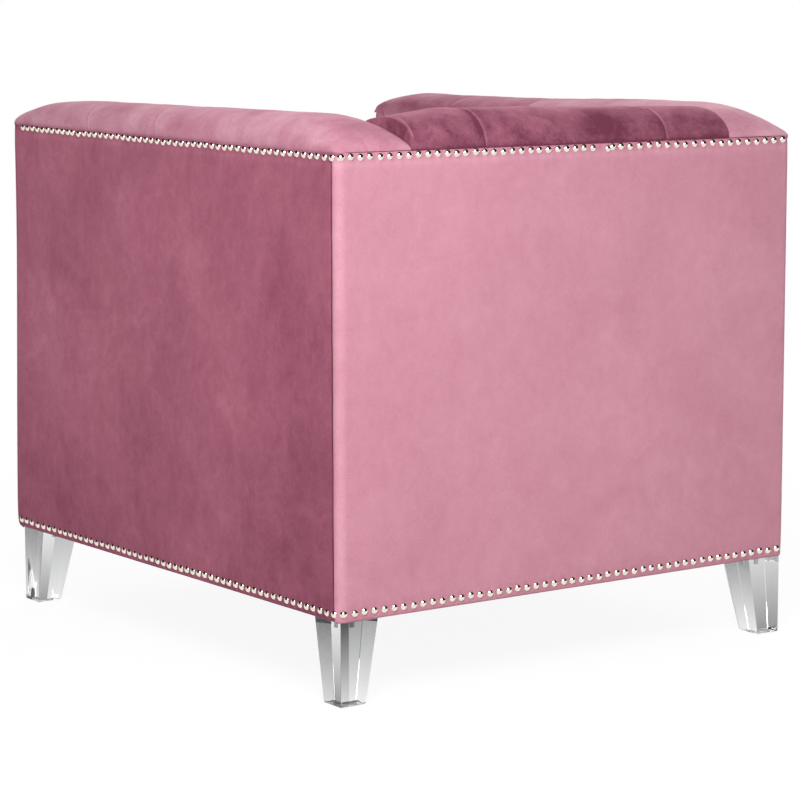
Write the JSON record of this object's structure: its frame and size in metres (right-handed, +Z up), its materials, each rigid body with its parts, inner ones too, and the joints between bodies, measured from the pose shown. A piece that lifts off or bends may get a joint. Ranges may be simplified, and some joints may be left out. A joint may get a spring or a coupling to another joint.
{
  "type": "club chair",
  "caption": "Square club chair with arms level with the back, tufted inner pads, loose seat cushion, nail-studded edges and clear block legs.",
  "frame": {"origin": "on the floor under the middle of the chair", "axes": "+Z up, the sitter faces -Y, +X is the chair's own left arm"},
  "size_m": [0.7936, 0.8756, 0.772],
  "materials": {
    "hardwood": "sanded",
    "plywood": "raw",
    "steel": "plain",
    "spring_steel": "oiled",
    "zinc_screws": "yellow zinc",
    "paper_wire": "covered",
    "felt": "needled",
    "deck_foam": "foam under deck cloth",
    "webbing": "woven",
    "velvet_side": "velvet",
    "velvet_back": "velvet",
    "velvet_front": "velvet",
    "velvet_arm_pad": "velvet",
    "velvet_back_pad": "velvet",
    "velvet_button": "velvet",
    "velvet_cushion": "velvet",
    "foam_core": "open-cell foam",
    "zip_tape": "woven tape",
    "cambric": "black cloth",
    "nickel": "polished nickel",
    "clear_acrylic": "polished",
    "nylon": "moulded"
  },
  "bodies": {
    "chair": {"rear_posts": "hardwood", "front_posts": "hardwood", "seat_rail_front": "hardwood", "seat_rail_back": "hardwood", "seat_rail_left": "hardwood", "seat_rail_right": "hardwood", "arm_rail_left": "hardwood", "arm_rail_right": "hardwood", "back_rail": "hardwood", "tack_rail_left": "hardwood", "tack_rail_right": "hardwood", "tack_rail_back": "hardwood", "corner_blocks": "hardwood", "block_screws": "zinc_screws", "serpentine_springs": "spring_steel", "spring_clips": "steel", "tie_wires": "paper_wire", "spring_felt": "felt", "deck_pad": "deck_foam", "arm_board_left": "plywood", "arm_board_right": "plywood", "back_webbing": "webbing", "outer_side_left": "velvet_side", "outer_side_right": "velvet_side", "outer_back": "velvet_back", "arm_front_left": "velvet_front", "arm_front_right": "velvet_front", "front_border": "velvet_front", "dust_cover": "cambric", "arm_pad_left": "velvet_arm_pad", "arm_pad_right": "velvet_arm_pad", "back_pad": "velvet_back_pad", "buttons_left": "velvet_button", "buttons_right": "velvet_button", "buttons_back": "velvet_button", "nails_back": "nickel", "nails_left": "nickel", "nails_right": "nickel", "nails_front": "nickel", "leg_front_left": "clear_acrylic", "leg_front_right": "clear_acrylic", "leg_rear_left": "clear_acrylic", "leg_rear_right": "clear_acrylic", "leg_plates": "steel", "leg_bolts": "steel", "plate_screws": "zinc_screws", "leg_glides": "nylon"},
    "seat_cushion": {"cushion_cover": "velvet_cushion", "cushion_core": "foam_core", "cushion_zip": "zip_tape"}
  },
  "joints": [
    {"name": "cushion_lift", "type": "slide", "parent": "chair", "child": "seat_cushion", "axis": [0, 0, 1], "range_m": [0, 0.46]}
  ]
}
